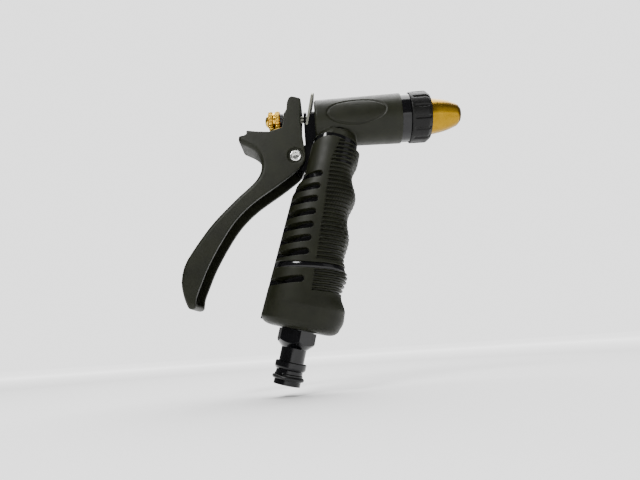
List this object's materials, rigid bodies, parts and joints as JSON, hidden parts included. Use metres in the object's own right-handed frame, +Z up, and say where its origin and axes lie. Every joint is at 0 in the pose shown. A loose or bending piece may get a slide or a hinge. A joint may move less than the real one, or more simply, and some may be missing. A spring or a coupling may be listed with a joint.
{
  "type": "hose spray nozzle",
  "caption": "Rear-trigger garden hose spray nozzle with a contoured grip, adjustable brass tip, knurled stem nut and click-fit hose nipple.",
  "frame": {"origin": "centre of the hose nipple's end face, on the handle axis", "axes": "+X along the barrel in the spray direction, +Z up, +Y across the part, away from the side seen in the picture"},
  "size_m": [0.1648, 0.0342, 0.1711],
  "materials": {
    "gloss_black": "gloss moulded",
    "satin_black": "satin moulded",
    "collar_black": "satin moulded",
    "brass": "satin gold",
    "bright_brass": "bright knurled",
    "steel": "satin",
    "dark_steel": "blackened",
    "bright_steel": "bright",
    "rubber": "satin",
    "nylon": "satin"
  },
  "bodies": {
    "nozzle_body": {"valve_body": "gloss_black", "barrel_sleeve": "satin_black", "grip_upper": "satin_black", "grip_ring": "gloss_black", "grip_lower": "satin_black", "front_hub": "gloss_black", "valve_seat": "brass", "flow_pin": "brass", "nose_o_ring": "rubber", "collar_retainer": "steel", "gland_nut": "gloss_black", "gland_packing": "nylon", "pivot_rivet": "bright_steel", "pivot_washers": "nylon", "hose_nipple": "gloss_black", "nipple_o_ring": "rubber", "inlet_washer": "rubber", "return_spring": "steel"},
    "trigger": {"trigger_lever": "satin_black"},
    "stem": {"valve_stem": "steel", "stem_clip": "steel", "spring_seat": "steel", "poppet_holder": "brass", "poppet_seal": "rubber"},
    "nut_washer": {"nut_washer": "dark_steel"},
    "adjuster_nut": {"adjuster_nut": "bright_brass"},
    "latch": {"latch_plate": "steel"},
    "tip": {"nozzle_tip": "brass"},
    "collar": {"tip_collar": "collar_black"}
  },
  "joints": [
    {"name": "trigger_pivot", "type": "hinge", "parent": "nozzle_body", "child": "trigger", "pos_m": [0.01194, 0, 0.12557], "axis": [0, -1, 0], "range_deg": [0, 14.5], "stiffness_Nm_per_rad": 1.5, "springref_deg": -14.32},
    {"name": "stem_slide", "type": "slide", "parent": "nozzle_body", "child": "stem", "axis": [-1, 0, 0], "range_m": [0, 0.0069], "deforming": ["return_spring"]},
    {"name": "nut_travel", "type": "slide", "parent": "stem", "child": "nut_washer", "axis": [-1, 0, 0], "range_m": [0, 0.0024]},
    {"name": "nut_turn", "type": "hinge", "parent": "nut_washer", "child": "adjuster_nut", "pos_m": [0.00034, 0, 0.15227], "axis": [-1, 0, 0], "range_deg": [0, 1080]},
    {"name": "latch_tilt", "type": "hinge", "parent": "nozzle_body", "child": "latch", "pos_m": [0.01929, 0, 0.14727], "axis": [0, -1, 0], "range_deg": [0, 7]},
    {"name": "collar_turn", "type": "hinge", "parent": "nozzle_body", "child": "collar", "pos_m": [0.08534, 0, 0.14877], "axis": [1, 0, 0], "range_deg": [0, 350]},
    {"name": "tip_travel", "type": "slide", "parent": "nozzle_body", "child": "tip", "axis": [1, 0, 0], "range_m": [0, 0.0029]}
  ],
  "couplings": [
    {"joint": "stem_slide", "follows": "trigger_pivot", "m_per_rad": 0.0267},
    {"joint": "nut_turn", "follows": "nut_travel", "rad_per_m": 7853.9},
    {"joint": "collar_turn", "follows": "tip_travel", "rad_per_m": 2094.4}
  ]
}
